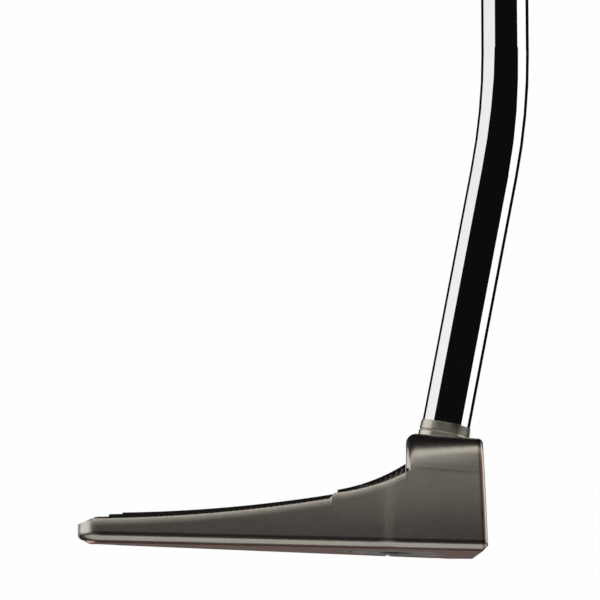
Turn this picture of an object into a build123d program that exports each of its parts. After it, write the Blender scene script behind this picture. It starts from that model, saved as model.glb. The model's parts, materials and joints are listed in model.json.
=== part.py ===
from build123d import *

import math
import os

# Mallet putter: a two-wing steel head with ribbed deck panels, a sole plate and removable sole
# weights, a bent steel shaft over a hosel post, and a rubber grip.
#
# Frame: +Z up, +X towards the target, +Y towards the heel. The origin is on the ground, under the flat
# pad that the head rests on at address. Lengths are millimetres, angles are degrees.

# ---------------------------------------------------------------- driving dimensions
CLUB_LENGTH = 864.0  # from the ground to the butt along the upper shaft axis, 34 inches
LIE = 70.0  # upper shaft axis above the ground
LOFT = 2.7  # the face leans back from the vertical

# Head seen from above: a bar behind the face, and a wing running back from each end of it.
FACE_X = 4.7  # face plane at ground level
BAR_BACK_X = -10.6
BAR_HALF = 50.0
BAR_TOP_Z = 23.65  # at the bar's back edge
BAR_TOP_SLOPE = 4.4
PLAN_FRONT_X = 7.7  # the plan runs this far forward, and the face plane cuts it off
SHOULDER_R = 6.8  # rounding of the bar's top at its heel and toe ends
BAR_ROUND, FACE_ROUND = 1.8, 1.0  # rounding of the bar's rear edges, and of its front edges
SWEEP_START, SWEEP_END = -12.4, -15.2  # where the bar's end sweeps in to the wing's side
SWEEP_R = 5.0
TAIL_X, TAIL_END_X = -72.0, -70.4  # the bowed tail's furthest point, and the corners of its end
WING_ROOT_Y, WING_TAIL_Y = 48.7, 41.5
TAIL_CORNER_R, FORK_TIP_R = 5.0, 3.0
FORK_ROOT_X = -31.0
FORK_ROOT_HALF, FORK_TAIL_HALF = 19.0, 26.0
FORK_CORNER_R = 7.0

# The side walls are crowned: they follow a circle of this radius about this height.
CROWN_R, CROWN_Z = 110.0, 5.0
CROWN_LEVELS = (0.0, 6.0, 12.0, 18.0, 25.0)

# Deck line at the rim, as (x, z) points on two arcs with a step between them.
WING_RIM = ((-68.95, 7.82), (-45.0, 8.97), (-24.8, 11.5))
RAMP_RIM = ((-23.8, 12.56), (-18.9, 13.4), (BAR_BACK_X, 16.4))
RAMP_CREST = ((-24.1, 13.0), (-18.7, 14.27), (BAR_BACK_X - 0.05, 18.05))
CHAMFER_FOOT = (TAIL_X - 1.0, 6.13)  # the tail's chamfer drawn on to just behind the tail

# Sole: a flat pad, a rear relief, two flanks and a bevel below the face.
PAD_BACK, PAD_FRONT = 3.0, 1.9  # how far the pad reaches behind and in front of the origin
RELIEF_SLOPE = 0.0442
FLANK_X, FLANK_Y, FLANK_RISE_Y, FLANK_RISE_X = 2.0, 20.0, 0.062, 0.028
BEVEL_TOP_Z = 2.9
TAIL_BEVEL = (TAIL_X + 1.1, 3.6, 0.47)  # x, z and slope of the bevel under the tail
SEAM_Z, SEAM_SLOPE = 2.056, 0.0222  # plane between the steel body and the sole plate
LOWER_ROUND, PLATE_INSET = 1.1, 1.13  # rounding of the body above the plate, and the plate's outline
GROOVE_X, GROOVE_HALF, GROOVE_DEPTH = -14.1, 0.33, 0.25

# Face plate and insert.
PLATE_THICKNESS = 0.6
INSERT_HALF, INSERT_LOW, INSERT_HIGH, INSERT_CORNER = 36.0, 4.6, 19.4, 3.0
INSERT_DEPTH, TAPE_THICKNESS = 2.6, 0.15
INSERT_GROOVES, INSERT_GROOVE_PITCH, INSERT_GROOVE_DEPTH = 7, 1.9, 0.3

# Deck panels.
RIM_WIDTH = 1.1
PANEL_SET = 0.8  # how deep the panels sit below the rim
PANEL_RISE = 0.65  # how far the wing panels' rails stand above the rim
RIB_RISE, RAMP_RIB_DROP = 0.12, 0.55  # wing ribs above the rim, and ramp ribs below the middle rail
PANEL_GAP = 0.05
RIB_PITCH, RIB_DEPTH = 1.08, 0.5
RIB_FORM = ((0.0, RIB_DEPTH), (0.12, 0.0), (0.5, 0.0), (0.62, RIB_DEPTH))  # share of the pitch, drop
RAIL_WIDTH = 2.4
PANEL_TAIL_X, LIP_TAIL_X = -66.4, -68.6  # where the panels' ribs end, and the flat lip behind them
LIP_RISE = 0.22
LINE_HALF, LINE_DEPTH, LINE_MARGIN = 0.6, 0.35, 1.2

# Lightening pockets under the sole plate: x from, x to, y from, y to, top; one on each side.
POCKETS = (
    (-28.5, -9.0, 4.0, 21.0, 9.0),
    (-9.0, -0.5, 0.0, 13.0, 18.5),
    (-58.0, -31.5, 26.5, 40.0, 6.0),
)

FIT, CLOSE_FIT = 0.05, 0.01  # radial clearances
OPEN_WAY = 3.0  # straight way in to a fastener's head

# Sole weights: disc, neck with a sealing ring, and thread, along an axis square to the flank.
WEIGHT_X, WEIGHT_Y = -12.5, 33.0
WEIGHT_R, WEIGHT_DISC, WEIGHT_SINK = 9.9, 2.0, 0.05
THREAD_R, THREAD_END = 9.0, 7.0
NECK_R, NECK_LENGTH = 8.1, 1.1
RING_R, RING_SECTION = 8.6, 0.42
SOCKET_R, SOCKET_DEPTH = 3.4, 2.6
TROUGH_OUT_R, TROUGH_IN_R, TROUGH_DEPTH = 9.0, 8.4, 0.3

# Sole plate screws and deck panel screws: head radius, head height, shank radius, length.
SOLE_SCREW = (2.3, 1.2, 1.3, 3.6)
SOLE_SCREW_SINK = 0.3
SOLE_SCREW_PLACES = ((-20.0, 0.0), (-5.0, 16.5), (-5.0, -16.5), (-67.0, 34.0), (-67.0, -34.0))
PANEL_SCREW = (1.6, 0.5, 0.8, 2.4)
PANEL_SCREW_SINK = 0.15
WING_SCREW_PLACES = ((-62.0, 34.0), (-29.0, 35.0))
RAMP_SCREW_PLACE = (-17.5, 36.0)
SCREW_SOCKET_R, SCREW_SOCKET_DEPTH = 0.55, 0.6  # the socket's radius and depth as shares of the head's

# Hosel post and shaft.
POST_FOOT = Vector(-3.14, 20.0, 23.7)  # where the lower shaft axis leaves the head
BEND_POINT = Vector(9.0, 25.0, 87.0)  # where the lower and upper shaft axes meet
BEND_RADIUS = 75.0
POST_SHOULDER = 2.15  # length of the shoulder above POST_FOOT
POST_SHOULDER_R, POST_BASE_R = 4.87, 5.03
POST_ROOT = 1.5  # how deep the shoulder stands in the head
POST_RING_Z, POST_RING_R = 0.3, 0.2
POST_TANG_R, POST_TANG = 3.25, 13.0
POST_SPIGOT_R, POST_SPIGOT = 4.08, 28.0
TIP_R, WALL = 4.7, 0.45
GLUE_END = 25.0
BUTT_R = 7.35
STEPS, STEP_START, STEP_LENGTH = 12, 200.0, 24.0  # tube steps, measured from the bend point

# Grip.
GRIP_LENGTH = 267.0
# Sections from the mouth to the butt: share of the length, radius, flat's distance, shift to the back.
GRIP_SECTIONS = (
    (0.0, 9.8, 9.3, 0.0),
    (0.35, 12.0, 10.7, 0.4),
    (0.7, 13.2, 11.5, 0.9),
    (1.0, 15.0, 12.6, 2.2),
)
TAPE_WRAP = 0.15
CAP_THICKNESS = 5.0
VENT_R = 1.6

# Directions of the post and the shaft, and distances from the bend point along the shaft.
POST_WAY = (BEND_POINT - POST_FOOT).normalized()
SHAFT_WAY = Vector(0, math.cos(math.radians(LIE)), math.sin(math.radians(LIE)))
BUTT = CLUB_LENGTH - BEND_POINT.Z / math.sin(math.radians(LIE))
TUBE_END = BUTT - CAP_THICKNESS

BIG, BIG_RISE = 400.0, 12.0  # sizes of cutting blocks, larger than anything they cut
ON_BASE = (Align.CENTER, Align.CENTER, Align.MIN)


# ---------------------------------------------------------------- helpers
def seam_z(x):
    """Height of the plane between the steel body and the sole plate."""
    return SEAM_Z - SEAM_SLOPE * x


def sole_z(x, y):
    """Height of the underside of the sole behind the pad."""
    relief = max(0.0, RELIEF_SLOPE * (-PAD_BACK - x))
    flank = FLANK_RISE_Y * (abs(y) - FLANK_Y) + FLANK_RISE_X * (FLANK_X - x)
    return max(relief, flank)


def face_x(z):
    """Position of the face plane at a height."""
    return FACE_X - z * math.tan(math.radians(LOFT))


def half_space(point, normal):
    """A very large block with one face through the point, on the side that the normal points to."""
    return Plane(origin=point, z_dir=normal) * Box(BIG, BIG, BIG, align=ON_BASE)


def profile(outline, half_width):
    """A solid as wide as twice half_width from a face drawn in the X-Z plane."""
    return extrude(Plane.XZ * outline, half_width, both=True)


def arc(points):
    """The arc through three (x, z) points."""
    return ThreePointArc(*points)


def raised(points, lift):
    """The same (x, z) points, higher by lift."""
    return [(x, z + lift) for x, z in points]


def between(crest, floor):
    """The face between two arcs, each through three (x, z) points."""
    ends = [Line(crest[0], floor[0]), Line(crest[-1], floor[-1])]
    return make_face([arc(crest), arc(floor), *ends])


def band(points, low, high):
    """The face between a deck arc raised by low and the same arc raised by high."""
    return between(raised(points, high), raised(points, low))


def ribbed(crest, floor):
    """A face with a ribbed top along the crest arc, and the floor arc as its underside."""
    curve = arc(crest)
    count = round(curve.length / RIB_PITCH)
    outline = []
    for rib in range(count):
        for share, drop in RIB_FORM:
            point = curve @ ((rib + share) / count)
            outline.append((point.X, point.Y - drop))
    end = curve @ 1.0
    outline.append((end.X, end.Y - RIB_DEPTH))
    top = Polyline(*outline)
    (x0, z0), (x1, z1) = floor[0], floor[-1]
    sides = [Line(outline[0], (x0, z0)), Line(outline[-1], (x1, z1))]
    return make_face([top, arc(floor), *sides])


def along(start, direction, radius, length, end_radius=None):
    """A cylinder, or a cone where end_radius is given, from a point along a direction."""
    place = Plane(origin=start, z_dir=direction)
    if end_radius is None:
        return place * Cylinder(radius, length, align=ON_BASE)
    return place * Cone(radius, end_radius, length, align=ON_BASE)


def sleeve(start, way, inner, outer, length):
    """A thin tube."""
    return along(start, way, outer, length) - along(start, way, inner, length)


def both_sides(solid):
    """The solid and its mirror image across the X-Z plane."""
    return [solid, mirror(solid, Plane.XZ)]


def edges_near(solid, test):
    """Edges whose middle point passes the test."""
    return [edge for edge in solid.edges() if test(edge @ 0.5)]


# ---------------------------------------------------------------- head: outer form
def corner(plan, x, y, radius):
    """Round the plan's pair of corners at (x, +y) and (x, -y)."""
    near = [v for v in plan.vertices() if abs(v.X - x) < 0.01 and abs(abs(v.Y) - y) < 0.01]
    return fillet(near, radius)


def head_plan(inset=0.0):
    """The head seen from above, moved in from its edge by inset."""
    heel = [
        Polyline(
            (PLAN_FRONT_X, 0.0),
            (PLAN_FRONT_X, BAR_HALF),
            (SWEEP_START, BAR_HALF),
            (SWEEP_END, WING_ROOT_Y),
            (TAIL_END_X, WING_TAIL_Y),
        ),
        ThreePointArc(
            (TAIL_END_X, WING_TAIL_Y),
            (TAIL_X, (WING_TAIL_Y + FORK_TAIL_HALF) / 2),
            (TAIL_END_X, FORK_TAIL_HALF),
        ),
        Polyline((TAIL_END_X, FORK_TAIL_HALF), (FORK_ROOT_X, FORK_ROOT_HALF), (FORK_ROOT_X, 0.0)),
    ]
    toe = [mirror(curve, Plane.XZ) for curve in heel]
    plan = make_face(heel + toe).clean()
    for x, y, radius in (
        (SWEEP_START, BAR_HALF, SWEEP_R),
        (SWEEP_END, WING_ROOT_Y, SWEEP_R),
        (TAIL_END_X, WING_TAIL_Y, TAIL_CORNER_R),
        (TAIL_END_X, FORK_TAIL_HALF, FORK_TIP_R),
        (FORK_ROOT_X, FORK_ROOT_HALF, FORK_CORNER_R),
    ):
        plan = corner(plan, x, y, radius)
    return offset(plan, -inset) if inset else plan


def crown_inset(height):
    """How far the crown moves a side wall in at a height."""
    return CROWN_R - math.sqrt(CROWN_R ** 2 - (height - CROWN_Z) ** 2)


def crowned_walls():
    """The head's plan drawn up into a block with crowned walls."""
    return loft([Pos(0, 0, height) * head_plan(crown_inset(height)) for height in CROWN_LEVELS])


def bar_front_z():
    """Height of the bar's top at the face."""
    return BAR_TOP_Z - (face_x(BAR_TOP_Z) - BAR_BACK_X) * math.tan(math.radians(BAR_TOP_SLOPE))


def head_section():
    """The head seen from the side: bar, ramp, step, wing and chamfered tail."""
    front_z = bar_front_z()
    behind = CHAMFER_FOOT[0]
    edges = [
        Polyline(
            RAMP_RIM[-1],
            (BAR_BACK_X, BAR_TOP_Z),
            (face_x(front_z), front_z),
            (face_x(0.0), 0.0),
            (behind, 0.0),
            CHAMFER_FOOT,
            WING_RIM[0],
        ),
        arc(WING_RIM),
        Line(WING_RIM[-1], RAMP_RIM[0]),
        arc(RAMP_RIM),
    ]
    return make_face(edges)


def head_form():
    """The whole head above the seam as one rounded solid, before anything is cut out of it."""
    form = crowned_walls() & profile(head_section(), BIG / 2)
    front_z = bar_front_z()
    ends = edges_near(form, lambda p: p.Z > front_z and abs(p.Y) > BAR_HALF - SHOULDER_R)
    form = fillet(ends, SHOULDER_R)
    back = edges_near(form, lambda p: p.Z > RAMP_RIM[-1][1] + FIT and p.X < BAR_BACK_X + FIT)
    form = fillet(back, BAR_ROUND)
    front = edges_near(form, lambda p: p.Z > BEVEL_TOP_Z and p.X > face_x(BAR_TOP_Z) - FACE_ROUND)
    form = fillet(front, FACE_ROUND) - below_seam()
    bottom = form.faces().filter_by(lambda face: face.normal_at().Z < -0.99).sort_by(SortBy.AREA)[-1]
    lower = [edge for edge in bottom.outer_wire().edges() if (edge @ 0.5).X < FACE_X - 2 * FACE_ROUND]
    return fillet(lower, LOWER_ROUND) - before_bevel()


# ---------------------------------------------------------------- head: separate pieces
def below_seam():
    """Everything below the plane between the body and the sole plate."""
    return half_space((0, 0, seam_z(0.0)), (-SEAM_SLOPE, 0, -1))


def above_seam():
    """Everything above the same plane."""
    return half_space((0, 0, seam_z(0.0)), (SEAM_SLOPE, 0, 1))


def before_bevel():
    """Everything below and in front of the bevel under the face."""
    return half_space((PAD_FRONT, 0, 0), (BEVEL_TOP_Z, 0, PAD_FRONT - face_x(BEVEL_TOP_Z)))


def sole_cuts():
    """Everything below the underside of the sole, and the groove across it."""
    drop = FLANK_X * FLANK_RISE_X
    tail_x, tail_z, tail_slope = TAIL_BEVEL
    return [
        half_space((0, 0, 0), (0, 0, -1)),
        half_space((-PAD_BACK, 0, 0), (-RELIEF_SLOPE, 0, -1)),
        before_bevel(),
        half_space((tail_x, 0, tail_z), (-tail_slope, 0, -1)),
        half_space((0, FLANK_Y, drop), (-FLANK_RISE_X, FLANK_RISE_Y, -1)),
        half_space((0, -FLANK_Y, drop), (-FLANK_RISE_X, -FLANK_RISE_Y, -1)),
        Pos(GROOVE_X, 0, 0) * Box(2 * GROOVE_HALF, BIG, 2 * (sole_z(GROOVE_X, 0.0) + GROOVE_DEPTH)),
    ]


def weight_axis(side):
    """Where a weight's axis meets the sole, and the direction up into the head."""
    start = Vector(WEIGHT_X, side * WEIGHT_Y, sole_z(WEIGHT_X, WEIGHT_Y))
    return start, Vector(FLANK_RISE_X, -side * FLANK_RISE_Y, 1.0).normalized()


def weight_port(side):
    """The stepped hole that takes a weight."""
    start, up = weight_axis(side)
    disc = along(start - up * OPEN_WAY, up, WEIGHT_R + FIT, OPEN_WAY + WEIGHT_DISC + FIT)
    return disc + along(start, up, THREAD_R + FIT, THREAD_END + 0.3)


def sole_weight(side):
    """A weight with a disc that shows, a neck for the sealing ring and a thread."""
    start, up = weight_axis(side)
    neck_end = WEIGHT_DISC + NECK_LENGTH
    weight = along(start, up, WEIGHT_R, WEIGHT_DISC) + along(start, up, NECK_R, THREAD_END)
    weight += along(start + up * neck_end, up, THREAD_R, THREAD_END - neck_end)
    weight -= along(start, up, WEIGHT_R + FIT, WEIGHT_SINK)
    weight -= sleeve(start, up, TROUGH_IN_R, TROUGH_OUT_R, TROUGH_DEPTH)
    return weight - Plane(origin=start, z_dir=up) * extrude(RegularPolygon(SOCKET_R, 6), SOCKET_DEPTH)


def sealing_ring(side):
    """The ring round a weight's neck."""
    start, up = weight_axis(side)
    return Plane(origin=start + up * (WEIGHT_DISC + NECK_LENGTH / 2), z_dir=up) * Torus(RING_R, RING_SECTION)


def face_plane():
    """A plane on the face, with x towards the heel and y up the face."""
    slope = math.radians(LOFT)
    return Plane(origin=(FACE_X, 0, 0), x_dir=(0, 1, 0), z_dir=(math.cos(slope), 0, math.sin(slope)))


def face_block(grow, front, back):
    """A block with the insert's outline, grown by grow, between two depths behind the face."""
    height = INSERT_HIGH - INSERT_LOW
    outline = RectangleRounded(2 * (INSERT_HALF + grow), height + 2 * grow, INSERT_CORNER + grow)
    outline = Pos(0, (INSERT_HIGH + INSERT_LOW) / 2) * outline
    return face_plane() * (Pos(0, 0, -back) * extrude(outline, back - front))


def face_insert():
    """The insert, with milled grooves from heel to toe."""
    insert = face_block(0.0, 0.0, INSERT_DEPTH)
    middle = (INSERT_HIGH + INSERT_LOW) / 2
    groove = Box(2 * INSERT_HALF - 6.0, INSERT_GROOVE_PITCH / 2, 2 * INSERT_GROOVE_DEPTH)
    for row in range(INSERT_GROOVES):
        rise = middle + (row - (INSERT_GROOVES - 1) / 2) * INSERT_GROOVE_PITCH
        insert -= face_plane() * (Pos(0, rise, 0) * groove)
    return insert


def arc_z(points, x):
    """Height of a deck arc, which curves upwards, at x."""
    curve = arc(points)
    centre = curve.arc_center
    return centre.Y - math.sqrt(curve.radius ** 2 - (x - centre.X) ** 2)


def screw(sizes, top):
    """A socket-head screw whose head's upper face is centred on top, pointing down."""
    head_r, head, shank_r, length = sizes
    body = along(top, (0, 0, -1), head_r, head) + along(top, (0, 0, -1), shank_r, length)
    socket = extrude(RegularPolygon(head_r * SCREW_SOCKET_R, 6), head * SCREW_SOCKET_DEPTH, both=True)
    return body - Pos(*top) * socket


def screw_hole(sizes, top):
    """Room for a screw, with a straight way in above its head."""
    head_r, head, shank_r, length = sizes
    start = Vector(*top) + Vector(0, 0, OPEN_WAY)
    hole = along(start, (0, 0, -1), head_r + FIT, head + OPEN_WAY)
    return hole + along(top, (0, 0, -1), shank_r, length + 4 * FIT)


def panel_screw_tops():
    """Centres of the deck screws' heads, wings first."""
    tops = []
    for side in (1, -1):
        for x, y in WING_SCREW_PLACES:
            tops.append((x, side * y, arc_z(WING_RIM, x) + RIB_RISE - PANEL_SCREW_SINK))
    for side in (1, -1):
        x, y = RAMP_SCREW_PLACE
        tops.append((x, side * y, arc_z(RAMP_CREST, x) - RAMP_RIB_DROP - PANEL_SCREW_SINK))
    return tops


def flipped(solid, point):
    """A solid turned over about the X direction through a point."""
    return Pos(*point) * (Rot(180, 0, 0) * (Pos(*(-c for c in point)) * solid))


def sole_screw_tops():
    """Centres of the sole screws' heads, on their underside."""
    return [(x, y, sole_z(x, y) + SOLE_SCREW_SINK) for x, y in SOLE_SCREW_PLACES]


def fork_plan(outset):
    """The space between the wings seen from above, widened by outset and reaching to the step."""
    front, root, tail = WING_RIM[-1][0], FORK_ROOT_HALF + outset, FORK_TAIL_HALF + outset
    corners = ((front, root), (TAIL_END_X, tail), (TAIL_END_X, -tail), (front, -root))
    return make_face(Polyline(*corners, close=True))


def span(x_from, x_to):
    """A slice of space between two positions from tail to face."""
    return Pos((x_from + x_to) / 2, 0, 0) * Box(x_to - x_from, BIG, BIG)


def inside_rim(width):
    """The space inside a rim of a width, over the whole head."""
    return extrude(head_plan(width), 2 * BAR_TOP_Z)


def recess():
    """The shallow hollows that the deck panels sit in."""
    wings = profile(band(WING_RIM, -PANEL_SET, BIG_RISE), BIG / 2)
    wings &= span(LIP_TAIL_X - PANEL_GAP, WING_RIM[-1][0])
    ramp = profile(band(RAMP_RIM, -PANEL_SET, BIG_RISE), BIG / 2)
    plan = inside_rim(RIM_WIDTH - PANEL_GAP)
    return (plan & wings) + (plan & ramp)


def wing_panels():
    """The heel and toe wing panels: ribs from heel to toe, a smooth rail along the fork and a tail lip."""
    plan = inside_rim(RIM_WIDTH)
    ribs = profile(ribbed(raised(WING_RIM, RIB_RISE), raised(WING_RIM, -PANEL_SET)), BIG / 2)
    rail = extrude(fork_plan(RIM_WIDTH + RAIL_WIDTH), 2 * BAR_TOP_Z)
    rail &= profile(band(WING_RIM, -PANEL_SET, PANEL_RISE), BIG / 2)
    lip = profile(band(WING_RIM, -PANEL_SET, LIP_RISE), BIG / 2) & span(LIP_TAIL_X, PANEL_TAIL_X)
    panel = plan & (((ribs + rail) & span(PANEL_TAIL_X, WING_RIM[-1][0] - PANEL_GAP)) + lip)
    for top in panel_screw_tops()[:4]:
        panel -= screw_hole(PANEL_SCREW, top)
    heel = panel - half_space((0, PANEL_GAP, 0), (0, -1, 0))
    toe = panel - half_space((0, -PANEL_GAP, 0), (0, 1, 0))
    return heel, toe


def ramp_panel():
    """The ribbed ramp behind the bar, with a smooth middle rail, and the sight line let into it."""
    floor = raised(RAMP_RIM, -PANEL_SET)
    panel = profile(ribbed(raised(RAMP_CREST, -RAMP_RIB_DROP), floor), BIG / 2)
    panel += profile(between(RAMP_CREST, floor), RAIL_WIDTH)
    panel &= span(RAMP_RIM[0][0] + PANEL_GAP, BAR_BACK_X - PANEL_GAP)
    panel &= inside_rim(RIM_WIDTH)
    for top in panel_screw_tops()[4:]:
        panel -= screw_hole(PANEL_SCREW, top)
    line = profile(band(RAMP_CREST, -LINE_DEPTH, 0.0), LINE_HALF)
    line &= span(RAMP_RIM[0][0] + LINE_MARGIN, BAR_BACK_X - LINE_MARGIN)
    return panel - line, line


def head_parts():
    """Every piece of the head, by name."""
    form = head_form()
    front = half_space(face_plane().offset(-PLATE_THICKNESS).origin, face_plane().z_dir)
    window = face_block(PANEL_GAP, -1.0, INSERT_DEPTH + TAPE_THICKNESS)
    ports = weight_port(1) + weight_port(-1)
    body = form - front - window - ports - recess()
    for x0, x1, y0, y1, top in POCKETS:
        pocket = Pos((x0 + x1) / 2, (y0 + y1) / 2, top / 2) * Box(x1 - x0, y1 - y0, top)
        for hollow in both_sides(pocket):
            body -= hollow
    body -= along(POST_FOOT - POST_WAY * POST_TANG, POST_WAY, POST_TANG_R + CLOSE_FIT, POST_TANG)
    body -= along(POST_FOOT - POST_WAY * POST_ROOT, POST_WAY, POST_BASE_R + CLOSE_FIT, POST_ROOT + OPEN_WAY)

    plate = extrude(head_plan(PLATE_INSET), BAR_TOP_Z) - above_seam() - ports
    for cut in sole_cuts():
        plate -= cut

    screws = []
    for top in sole_screw_tops():
        screws.append(flipped(screw(SOLE_SCREW, top), top))
        hole = flipped(screw_hole(SOLE_SCREW, top), top)
        body -= hole
        plate -= hole
    for top in panel_screw_tops():
        body -= screw_hole(PANEL_SCREW, top)

    heel_panel, toe_panel = wing_panels()
    ramp, line = ramp_panel()
    return {
        "head_body": body,
        "sole_plate": plate,
        "sole_plate_screws": Compound(children=screws),
        "face_plate": (form & front) - window,
        "face_insert": face_insert(),
        "insert_bond_tape": face_block(0.0, INSERT_DEPTH, INSERT_DEPTH + TAPE_THICKNESS),
        "toe_wing_panel": toe_panel,
        "heel_wing_panel": heel_panel,
        "ramp_panel": ramp,
        "sight_line": line,
        "panel_screws": Compound(children=[screw(PANEL_SCREW, top) for top in panel_screw_tops()]),
        "toe_weight": sole_weight(-1),
        "heel_weight": sole_weight(1),
        "toe_weight_ring": sealing_ring(-1),
        "heel_weight_ring": sealing_ring(1),
    }


# ---------------------------------------------------------------- shaft and grip
def on_shaft(distance):
    """A point on the upper shaft axis, at a distance from the bend point."""
    return BEND_POINT + SHAFT_WAY * distance


def hosel_post():
    """The post that the shaft slides over: a tang in the head, a grooved shoulder and a spigot."""
    tang = along(POST_FOOT - POST_WAY * POST_TANG, POST_WAY, POST_TANG_R, POST_TANG)
    root = along(POST_FOOT - POST_WAY * POST_ROOT, POST_WAY, POST_BASE_R, POST_ROOT)
    shoulder = along(POST_FOOT, POST_WAY, POST_BASE_R, POST_SHOULDER, POST_SHOULDER_R)
    spigot = along(POST_FOOT, POST_WAY, POST_SPIGOT_R, POST_SHOULDER + POST_SPIGOT)
    ring = Plane(origin=POST_FOOT + POST_WAY * POST_RING_Z, z_dir=POST_WAY) * Torus(POST_BASE_R, POST_RING_R)
    return tang + root + shoulder + spigot - ring


def swept(radius):
    """A round bar of one radius along the bent lower part of the shaft."""
    start = POST_FOOT + POST_WAY * POST_SHOULDER
    path = FilletPolyline(start, BEND_POINT, on_shaft(STEP_START), radius=BEND_RADIUS)
    return sweep(Plane(origin=start, z_dir=POST_WAY) * Circle(radius), path)


def shaft():
    """The stepped steel tube with its bend."""
    outer, inner = swept(TIP_R), swept(TIP_R - WALL)
    for step in range(1, STEPS + 1):
        radius = TIP_R + (BUTT_R - TIP_R) * step / STEPS
        start = STEP_START + (step - 1) * STEP_LENGTH
        length = TUBE_END - start if step == STEPS else STEP_LENGTH
        outer += along(on_shaft(start), SHAFT_WAY, radius, length)
        inner += along(on_shaft(start), SHAFT_WAY, radius - WALL, length)
    return outer - inner


def grip_section(share, radius, flat, shift):
    """The grip's section: round at the back and flat in front."""
    distance = TUBE_END - (1 - share) * (GRIP_LENGTH - CAP_THICKNESS)
    depth = radius + shift + flat
    keep = Pos(0, (radius + shift - flat) / 2) * Rectangle(4 * radius, depth)
    outline = (Pos(0, shift) * Circle(radius)) & keep
    return Plane(origin=on_shaft(distance), x_dir=(1, 0, 0), z_dir=SHAFT_WAY) * outline


def grip_parts():
    """The wrap of tape on the shaft, the grip over it and the cap on its end."""
    length = GRIP_LENGTH - CAP_THICKNESS
    mouth = TUBE_END - length
    wrap_r = BUTT_R + TAPE_WRAP
    form = loft([grip_section(*sizes) for sizes in GRIP_SECTIONS])
    bore = along(on_shaft(mouth - 1.0), SHAFT_WAY, wrap_r, length + 2.0)
    cap = extrude(grip_section(*GRIP_SECTIONS[-1]), CAP_THICKNESS, dir=SHAFT_WAY)
    top = cap.faces().sort_by(Axis(on_shaft(0.0), SHAFT_WAY))[-1]
    cap = fillet(top.edges(), 2.0)
    return {
        "grip_tape": sleeve(on_shaft(mouth + 3.0), SHAFT_WAY, BUTT_R, wrap_r, length - 3.0),
        "grip": form - bore,
        "grip_cap": cap - along(on_shaft(TUBE_END - 1.0), SHAFT_WAY, VENT_R, CAP_THICKNESS + 2.0),
    }


def shaft_parts():
    """The post, the glue round it and the shaft."""
    glue_start = POST_FOOT + POST_WAY * (POST_SHOULDER + 0.5)
    return {
        "hosel_post": hosel_post(),
        "shaft_epoxy": sleeve(glue_start, POST_WAY, POST_SPIGOT_R, TIP_R - WALL, GLUE_END),
        "shaft": shaft(),
    }


def main():
    """Write every piece to its own file."""
    os.makedirs("parts", exist_ok=True)
    for name, piece in {**head_parts(), **shaft_parts(), **grip_parts()}.items():
        export_step(piece, f"parts/{name}.step")


main()
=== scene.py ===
import json
import math

import bpy
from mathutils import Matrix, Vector


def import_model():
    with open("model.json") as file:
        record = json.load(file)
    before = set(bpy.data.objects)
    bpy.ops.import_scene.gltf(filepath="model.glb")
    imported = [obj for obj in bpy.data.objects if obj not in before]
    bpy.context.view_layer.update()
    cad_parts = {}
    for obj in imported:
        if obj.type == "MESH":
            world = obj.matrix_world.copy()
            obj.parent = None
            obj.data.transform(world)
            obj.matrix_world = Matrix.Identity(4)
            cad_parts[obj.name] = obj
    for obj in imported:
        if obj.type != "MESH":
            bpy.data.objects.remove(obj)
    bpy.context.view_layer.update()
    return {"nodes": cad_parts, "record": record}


# Looks for a mallet putter: a satin pewter head with black deck panels and a copper sole, a chrome
# shaft and a rubber grip, on a white floor. Lengths are metres and angles are degrees.

MM = 0.001

# Camera: level with the head, looking along +Y at its toe end.
CAMERA_PLACE = (-0.0106, -1.200, 0.0155)
CAMERA_PITCH, CAMERA_TURN = 1.626, 0.974  # above the horizon, and towards the tail
CAMERA_CLIP = (0.05, 60.0)
LENS, SENSOR = 374.0, 36.0  # millimetres

# Lights, each as (azimuth, elevation, distance, width, height, radiance, colour). Azimuth 0 is the
# camera's side and turns towards +X. A light looks at AIM and lights only its own group of nodes.
AIM = Vector((-0.02, 0.0, 0.03))
SHAFT_LIGHTS = {
    "left_panel": (-100.0, 14.0, 1.1, 1.45, 1.7, 0.93, (1.0, 0.99, 0.975)),
    "right_panel": (101.0, 14.0, 1.1, 0.98, 1.7, 1.15, (1.0, 0.995, 0.985)),
}
HEAD_LIGHTS = {
    "left_card": (-100.0, 2.0, 1.1, 1.45, 0.9, 1.15, (1.0, 0.985, 0.96)),
    "right_card": (101.0, 2.0, 1.1, 0.98, 0.9, 1.15, (1.0, 0.99, 0.97)),
    "high_card": (0.0, 50.0, 1.1, 3.2, 0.5, 0.95, (1.0, 0.98, 0.94)),
    "middle_card": (0.0, 27.0, 1.1, 3.6, 0.34, 0.42, (1.0, 0.98, 0.94)),
    "low_card": (0.0, 10.0, 1.1, 3.8, 0.26, 0.26, (1.0, 0.98, 0.94)),
    "under_card": (0.0, -89.0, 0.9, 2.2, 1.3, 0.62, (1.0, 0.985, 0.96)),
    "back_card": (180.0, -7.0, 1.1, 2.2, 0.26, 0.42, (1.0, 0.985, 0.96)),
}
WHITE_LEVEL = 0.991  # the floor, and what the camera sees behind the object
ROOM_LEVEL = 0.004  # what reflections see of the room
FLOOR_HALF, FLOOR_DROP = 12.0, 0.1 * MM
FLOOR_GREY, FLOOR_ROUGHNESS = (0.02, 0.02, 0.02), 0.9

# Satin metal
GRAIN, BLOTCH = 0.16 * MM, 9.0 * MM
EDGE_ROUND, FINE_ROUND = 0.12 * MM, 0.08 * MM
BEVEL_SAMPLES = 6

# The deck rim's height as a parabola in x, behind and in front of the step
WING_CURVE = (1.74928, 0.247347, 0.0165583)
RAMP_CURVE = (14.39524, 0.786105, 0.0231153)
STEP_X, BAR_X = -0.0243, -0.0106

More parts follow.
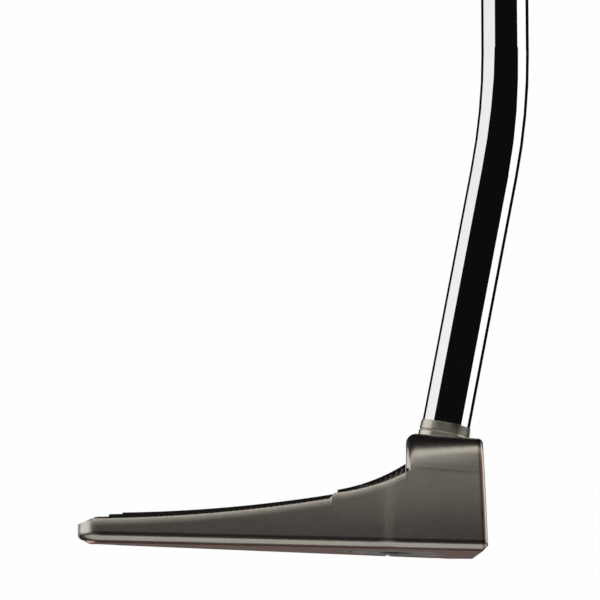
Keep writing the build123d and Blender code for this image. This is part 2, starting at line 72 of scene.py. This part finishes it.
# Where the steel's edges look rounded, and how far their normals lean: the deck rim, the seam above
# the sole plate, and the bar's end towards the face and its shoulder
RIM_SOFT, RIM_TILT, RIM_FALL = 1.5 * MM, 0.42, 1.7
SEAM_Z, SEAM_SLOPE = 2.056 * MM, 0.0222
SEAM_SOFT, SEAM_TILT = (0.8 * MM, 2.0 * MM), 0.6
END_REACH_X, END_REACH_Z, END_TILT = (-10.0 * MM, 3.0 * MM), (16.0 * MM, 19.5 * MM), 0.4

# The face's place at the ground and its loft, and the warm line between two distances behind it
FACE_X, LOFT = 4.7 * MM, 2.7
WARM_START, WARM_END = (0.55 * MM, 0.62 * MM), (1.2 * MM, 0.9 * MM)

# Ribs of the deck panels, whose ends show near the rim
RIB_PITCH = 1.07 * MM
RIB_END_Y = (36.0 * MM, 37.0 * MM)

HEAD_NODES = (
    "head_body", "sole_plate", "sole_plate_screws", "face_plate", "face_insert", "insert_bond_tape",
    "toe_wing_panel", "heel_wing_panel", "ramp_panel", "sight_line", "panel_screws", "toe_weight",
    "heel_weight", "toe_weight_ring", "heel_weight_ring", "hosel_post",
)


# ---------------------------------------------------------------- node helpers
class Nodes:
    """A small builder for one material's node tree, in object coordinates."""

    def __init__(self, name):
        self.material = bpy.data.materials.new(name)
        self.material.use_nodes = True
        self.tree = self.material.node_tree
        self.shader = self.tree.nodes["Principled BSDF"]
        self.place = self.add("ShaderNodeTexCoord").outputs["Object"]

    def add(self, kind, **settings):
        node = self.tree.nodes.new(kind)
        for key, value in settings.items():
            setattr(node, key, value)
        return node

    def link(self, source, target):
        """Connect an output to an input, or set the input where source is a plain value."""
        if isinstance(source, bpy.types.NodeSocket):
            self.tree.links.new(source, target)
        else:
            target.default_value = source

    def stretched(self, x, y, z):
        """Object coordinates scaled along each axis."""
        node = self.add("ShaderNodeVectorMath", operation="MULTIPLY")
        self.link(self.place, node.inputs[0])
        self.link((x, y, z), node.inputs[1])
        return node.outputs[0]

    def noise(self, size, detail=2.0, rough=0.5, place=None):
        """Noise from 0 to 1 whose blotches are about size across."""
        node = self.add("ShaderNodeTexNoise")
        self.link(place or self.place, node.inputs["Vector"])
        node.inputs["Scale"].default_value = 1.0 / size
        node.inputs["Detail"].default_value = detail
        node.inputs["Roughness"].default_value = rough
        return node.outputs["Fac"]

    def cells(self, size, feature="F1"):
        """Distance to the nearest of scattered points about size apart."""
        node = self.add("ShaderNodeTexVoronoi", feature=feature)
        self.link(self.place, node.inputs["Vector"])
        node.inputs["Scale"].default_value = 1.0 / size
        return node.outputs["Distance"]

    def math(self, operation, a, b=0.0):
        node = self.add("ShaderNodeMath", operation=operation)
        self.link(a, node.inputs[0])
        self.link(b, node.inputs[1])
        return node.outputs[0]

    def span(self, value, low, high, to_low=0.0, to_high=1.0):
        """Map a value from one range to another, clamped."""
        node = self.add("ShaderNodeMapRange")
        self.link(value, node.inputs["Value"])
        for socket, number in zip(("From Min", "From Max", "To Min", "To Max"), (low, high, to_low, to_high)):
            self.link(number, node.inputs[socket])
        return node.outputs["Result"]

    def blend(self, share, a, b):
        """Colour a at share 0, colour b at share 1."""
        node = self.add("ShaderNodeMix", data_type="RGBA")
        self.link(share, node.inputs[0])
        self.link(opaque(a), node.inputs[6])
        self.link(opaque(b), node.inputs[7])
        return node.outputs[2]

    def edges(self, radius):
        """0 on flat surface, rising to 1 at edges sharper than radius."""
        geometry = self.add("ShaderNodeNewGeometry")
        dot = self.add("ShaderNodeVectorMath", operation="DOT_PRODUCT")
        self.link(self.rounded(radius), dot.inputs[0])
        self.link(geometry.outputs["Normal"], dot.inputs[1])
        return self.span(dot.outputs["Value"], 0.995, 0.85)

    def bump(self, height, depth, normal=None):
        """Surface relief of a real depth in metres."""
        node = self.add("ShaderNodeBump")
        node.inputs["Strength"].default_value = 1.0
        node.inputs["Distance"].default_value = depth
        self.link(height, node.inputs["Height"])
        if normal is not None:
            self.link(normal, node.inputs["Normal"])
        return node.outputs[0]

    def rounded(self, radius):
        """Normals that round every edge by a radius."""
        bevel = self.add("ShaderNodeBevel", samples=BEVEL_SAMPLES)
        bevel.inputs["Radius"].default_value = radius
        return bevel.outputs[0]

    def axis(self, name):
        """One object coordinate."""
        parts = self.add("ShaderNodeSeparateXYZ")
        self.link(self.place, parts.inputs[0])
        return parts.outputs[name]

    def plane(self, x, z, offset):
        """x times the X coordinate, plus z times the Z coordinate, plus an offset."""
        across = self.math("MULTIPLY", self.axis("X"), x)
        up = self.math("MULTIPLY", self.axis("Z"), z)
        return self.math("ADD", self.math("ADD", across, up), offset)

    def leaning(self, lean):
        """The surface normal tipped upwards by an amount, or downwards where it is negative."""
        up = self.add("ShaderNodeCombineXYZ")
        self.link(lean, up.inputs["Z"])
        total = self.add("ShaderNodeVectorMath", operation="ADD")
        self.link(self.rounded(EDGE_ROUND), total.inputs[0])
        self.link(up.outputs[0], total.inputs[1])
        unit = self.add("ShaderNodeVectorMath", operation="NORMALIZE")
        self.link(total.outputs[0], unit.inputs[0])
        return unit.outputs[0]

    def below_rim(self):
        """How far a point is below the deck rim, in metres; in front of the deck it is large."""
        x = self.axis("X")
        rims = []
        for a, b, c in (WING_CURVE, RAMP_CURVE):
            slope = self.math("ADD", self.math("MULTIPLY", x, a), b)
            rims.append(self.math("ADD", self.math("MULTIPLY", x, slope), c))
        ramp = self.math("GREATER_THAN", x, STEP_X)
        step = self.math("MULTIPLY", ramp, self.math("SUBTRACT", rims[1], rims[0]))
        rim = self.math("ADD", rims[0], step)
        rim = self.math("ADD", rim, self.math("GREATER_THAN", x, BAR_X))
        return self.math("SUBTRACT", rim, self.axis("Z"))

    def rib_ends(self):
        """1 on the cut ends of the ribs, which face the heel or the toe near the rim."""
        parts = self.add("ShaderNodeSeparateXYZ")
        self.link(self.add("ShaderNodeNewGeometry").outputs["True Normal"], parts.inputs[0])
        facing = self.span(self.math("ABSOLUTE", parts.outputs["Y"]), 0.7, 0.9)
        outer = self.span(self.math("ABSOLUTE", self.axis("Y")), *RIB_END_Y)
        wave = self.math("SINE", self.math("MULTIPLY", self.axis("X"), 2.0 * math.pi / RIB_PITCH))
        ends = self.math("MULTIPLY", facing, outer)
        return self.math("MULTIPLY", ends, self.span(wave, -0.4, 0.4, 0.12, 1.0))

    def finish(self, colour, roughness, normal=None, **constants):
        """Connect the principled shader and set its constant sockets."""
        self.link(opaque(colour), self.shader.inputs["Base Color"])
        self.link(roughness, self.shader.inputs["Roughness"])
        if normal is not None:
            self.link(normal, self.shader.inputs["Normal"])
        for socket, value in constants.items():
            self.shader.inputs[socket.replace("_", " ")].default_value = value
        return self.material


def opaque(colour):
    """A colour socket as it is, or three numbers with an alpha of 1."""
    return colour if isinstance(colour, bpy.types.NodeSocket) else (*colour[:3], 1.0)


# ---------------------------------------------------------------- materials
def blasted(n, shares, spread, dark, light):
    """Grain of a blasted surface, its soft blotches, and a colour made from both by their shares."""
    fine = n.noise(GRAIN, detail=3.0, rough=0.7)
    patches = n.noise(BLOTCH, detail=4.0)
    tone = n.math("ADD", n.math("MULTIPLY", fine, shares[0]), n.math("MULTIPLY", patches, shares[1]))
    return fine, patches, n.blend(n.span(tone, *spread), dark, light)


def satin_copper(name):
    """Bead-blasted copper plating with lighter rubbed edges."""
    n = Nodes(name)
    fine, patches, colour = blasted(n, (0.75, 0.25), (0.36, 0.64), (0.52, 0.28, 0.22), (0.72, 0.41, 0.33))
    rubbed = n.math("MULTIPLY", n.edges(0.25 * MM), n.span(n.noise(1.2 * MM), 0.35, 0.65, 0.25, 0.8))
    colour = n.blend(rubbed, colour, (0.7, 0.5, 0.42))
    roughness = n.math("ADD", n.span(patches, 0.3, 0.7, -0.03, 0.03), 0.34)
    return n.finish(colour, roughness, n.bump(fine, 0.006 * MM, n.rounded(EDGE_ROUND)), Metallic=1.0)


def head_steel(name):
    """Blasted pewter-tone steel, softly rounded at the deck rim, along the seam and at the bar's end."""
    n = Nodes(name)
    fine, _, colour = blasted(n, (0.8, 0.2), (0.38, 0.62), (0.45, 0.425, 0.375), (0.66, 0.63, 0.565))
    behind_face = n.plane(-1.0, -math.tan(math.radians(LOFT)), FACE_X)
    warm = n.math("MULTIPLY", n.span(behind_face, *WARM_START), n.span(behind_face, *WARM_END))
    colour = n.blend(n.math("MULTIPLY", warm, 0.8), colour, (0.28, 0.13, 0.09))

    rim = n.math("POWER", n.span(n.below_rim(), 0.0, RIM_SOFT, 1.0, 0.0), RIM_FALL)
    seam = n.span(n.plane(SEAM_SLOPE, 1.0, -SEAM_Z), *SEAM_SOFT, 1.0, 0.0)
    end = n.math("MULTIPLY", n.span(n.axis("X"), *END_REACH_X), n.span(n.axis("Z"), *END_REACH_Z))
    lean = n.math("MULTIPLY", rim, RIM_TILT)
    for share, tilt in ((seam, SEAM_TILT), (end, END_TILT)):
        lean = n.math("SUBTRACT", lean, n.math("MULTIPLY", share, tilt))
    return n.finish(colour, 0.3, n.bump(fine, 0.003 * MM, n.leaning(lean)), Metallic=1.0)


def machined_metal(name, dark, light, rough):
    """Turned or milled metal with fine lines along Y."""
    n = Nodes(name)
    lines = n.noise(1.0, detail=2.0, place=n.stretched(6000.0, 220.0, 6000.0))
    colour = n.blend(n.span(lines, 0.35, 0.65), dark, light)
    roughness = n.span(n.noise(3.0 * MM), 0.3, 0.7, rough - 0.04, rough + 0.04)
    normal = n.bump(lines, 0.002 * MM, n.rounded(FINE_ROUND))
    return n.finish(colour, roughness, normal, Metallic=1.0)


def chrome(name):
    """Bright plating with faint wipe marks."""
    n = Nodes(name)
    smears = n.noise(1.0, detail=5.0, rough=0.6, place=n.stretched(90.0, 90.0, 22.0))
    colour = n.blend(n.span(smears, 0.3, 0.7), (0.86, 0.865, 0.87), (0.93, 0.93, 0.93))
    roughness = n.span(smears, 0.35, 0.75, 0.015, 0.05)
    return n.finish(colour, roughness, Metallic=1.0)


def anodised_black(name):
    """Black panel finish with a fine satin grain, and brownish metal on the cut ends of the ribs near the
    rim.
    """
    n = Nodes(name)
    fine = n.noise(0.12 * MM, detail=2.0, rough=0.6)
    colour = n.blend(n.span(fine, 0.3, 0.7), (0.010, 0.010, 0.009), (0.022, 0.021, 0.019))
    bare = n.rib_ends()
    colour = n.blend(bare, colour, (0.42, 0.33, 0.29))
    n.link(bare, n.shader.inputs["Metallic"])
    roughness = n.span(n.noise(4.0 * MM), 0.3, 0.7, 0.38, 0.5)
    normal = n.bump(fine, 0.004 * MM, n.rounded(FINE_ROUND))
    return n.finish(colour, roughness, normal, IOR=1.5)


def enamel(name):
    """White paint filled into a groove."""
    n = Nodes(name)
    waves = n.noise(1.6 * MM, detail=3.0)
    colour = n.blend(n.span(waves, 0.3, 0.7), (0.72, 0.71, 0.68), (0.84, 0.83, 0.80))
    return n.finish(colour, 0.32, n.bump(waves, 0.01 * MM), Coat_Weight=0.3)


def rubber(name, dark, light, pattern, relief, rough):
    """Moulded rubber with a fine pebble."""
    n = Nodes(name)
    pebble = n.cells(pattern, feature="SMOOTH_F1")
    fine = n.noise(pattern * 0.35, detail=2.0)
    height = n.math("ADD", n.math("MULTIPLY", pebble, -1.0), n.math("MULTIPLY", fine, 0.2))
    colour = n.blend(n.span(n.noise(12.0 * MM, detail=4.0), 0.3, 0.7), dark, light)
    roughness = n.span(fine, 0.3, 0.7, rough - 0.06, rough + 0.06)
    return n.finish(colour, roughness, n.bump(height, relief, n.rounded(0.3 * MM)), IOR=1.52)


def tape(name, dark, light):
    """Paper or foam tape with a fibre grain."""
    n = Nodes(name)
    fibres = n.noise(0.5 * MM, detail=5.0, rough=0.7)
    colour = n.blend(n.span(fibres, 0.3, 0.7), dark, light)
    return n.finish(colour, 0.85, n.bump(fibres, 0.03 * MM))


def resin(name):
    """Amber epoxy with trapped bubbles."""
    n = Nodes(name)
    bubbles = n.cells(0.6 * MM)
    colour = n.blend(n.span(bubbles, 0.05, 0.3), (0.55, 0.42, 0.2), (0.35, 0.24, 0.09))
    return n.finish(colour, 0.25, n.bump(bubbles, 0.02 * MM), IOR=1.55)


def materials():
    """Every material by its slot in the record."""
    near_black = ((0.010, 0.010, 0.010), (0.02, 0.02, 0.02))
    charcoal = ((0.012, 0.012, 0.013), (0.024, 0.024, 0.025))
    makers = {
        "head_steel": (head_steel,),
        "sole_copper": (satin_copper,),
        "weight_steel": (machined_metal, (0.36, 0.37, 0.36), (0.50, 0.51, 0.49), 0.3),
        "screw_steel": (machined_metal, (0.30, 0.28, 0.25), (0.42, 0.40, 0.37), 0.32),
        "insert_alloy": (machined_metal, (0.52, 0.52, 0.51), (0.68, 0.68, 0.67), 0.34),
        "panel_black": (anodised_black,),
        "panel_screw_black": (anodised_black,),
        "line_enamel": (enamel,),
        "ring_rubber": (rubber, *near_black, 0.3 * MM, 0.01 * MM, 0.6),
        "grip_rubber": (rubber, *charcoal, 1.1 * MM, 0.12 * MM, 0.62),
        "bond_tape": (tape, (0.05, 0.05, 0.05), (0.10, 0.10, 0.10)),
        "wrap_tape": (tape, (0.55, 0.50, 0.40), (0.70, 0.65, 0.55)),
        "epoxy": (resin,),
        "shaft_chrome": (chrome,),
    }
    return {slot: make(slot, *looks) for slot, (make, *looks) in makers.items()}


def dress(frame):
    """Give every CAD node the material of its slot."""
    made = materials()
    slots = {part["node"]: part["material_slot"] for part in frame["record"]["subparts"]}
    for node, obj in frame["nodes"].items():
        obj.data.materials.clear()
        obj.data.materials.append(made[slots[node]])


# ---------------------------------------------------------------- stage
def light(name, azimuth, elevation, distance, width, height, radiance, colour):
    """A soft rectangular light that looks at AIM."""
    data = bpy.data.lights.new(name, "AREA")
    data.shape = "RECTANGLE"
    data.size, data.size_y = width, height
    data.energy = radiance * math.pi * width * height
    data.color = colour
    turn, rise = math.radians(azimuth), math.radians(elevation)
    out = Vector((math.sin(turn) * math.cos(rise), -math.cos(turn) * math.cos(rise), math.sin(rise)))
    obj = bpy.data.objects.new(name, data)
    obj.location = AIM + out * distance
    obj.rotation_mode = "QUATERNION"
    obj.rotation_quaternion = (-out).to_track_quat("-Z", "Y")
    obj.visible_camera = False
    bpy.context.scene.collection.objects.link(obj)
    return obj


def only_on(obj, nodes, frame):
    """Let a light reach only some nodes."""
    receivers = bpy.data.collections.new(obj.name + "_receivers")
    for node in nodes:
        receivers.objects.link(frame["nodes"][node])
    obj.light_linking.receiver_collection = receivers


def floor():
    """A white floor that glows evenly and doesn't show in the metal."""
    corners = [(x * FLOOR_HALF, y * FLOOR_HALF, -FLOOR_DROP) for x, y in ((-1, -1), (1, -1), (1, 1), (-1, 1))]
    mesh = bpy.data.meshes.new("floor")
    mesh.from_pydata(corners, [], [(0, 1, 2, 3)])
    obj = bpy.data.objects.new("floor", mesh)
    obj.visible_glossy = obj.visible_diffuse = obj.visible_shadow = False
    bpy.context.scene.collection.objects.link(obj)
    glow = {"Emission_Color": (1.0, 1.0, 1.0, 1.0), "Emission_Strength": WHITE_LEVEL}
    shader = Nodes("floor").finish(FLOOR_GREY, FLOOR_ROUGHNESS, Specular_IOR_Level=0.0, **glow)
    mesh.materials.append(shader)


def world():
    """White behind the object, and a dim room in its reflections."""
    made = bpy.data.worlds.new("studio")
    made.use_nodes = True
    tree = made.node_tree
    background = tree.nodes["Background"]
    path = tree.nodes.new("ShaderNodeLightPath")
    level = tree.nodes.new("ShaderNodeMapRange")
    tree.links.new(path.outputs["Is Camera Ray"], level.inputs["Value"])
    level.inputs["To Min"].default_value = ROOM_LEVEL
    level.inputs["To Max"].default_value = WHITE_LEVEL
    tree.links.new(level.outputs["Result"], background.inputs["Strength"])
    background.inputs["Color"].default_value = (1.0, 1.0, 1.0, 1.0)
    bpy.context.scene.world = made


def camera():
    """Level with the head and square to its toe end."""
    data = bpy.data.cameras.new("camera")
    data.lens, data.sensor_width = LENS, SENSOR
    data.clip_start, data.clip_end = CAMERA_CLIP
    obj = bpy.data.objects.new("camera", data)
    obj.location = CAMERA_PLACE
    obj.rotation_euler = (math.radians(90.0 + CAMERA_PITCH), 0.0, math.radians(CAMERA_TURN))
    bpy.context.scene.collection.objects.link(obj)
    bpy.context.scene.camera = obj


def studio(frame):
    """Lights, floor, world and camera."""
    others = [node for node in frame["nodes"] if node not in HEAD_NODES]
    for lights, nodes in ((SHAFT_LIGHTS, others), (HEAD_LIGHTS, HEAD_NODES)):
        for name, sizes in lights.items():
            only_on(light(name, *sizes), nodes, frame)
    floor()
    world()
    camera()
    bpy.context.scene.view_settings.view_transform = "Standard"


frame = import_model()
dress(frame)
studio(frame)
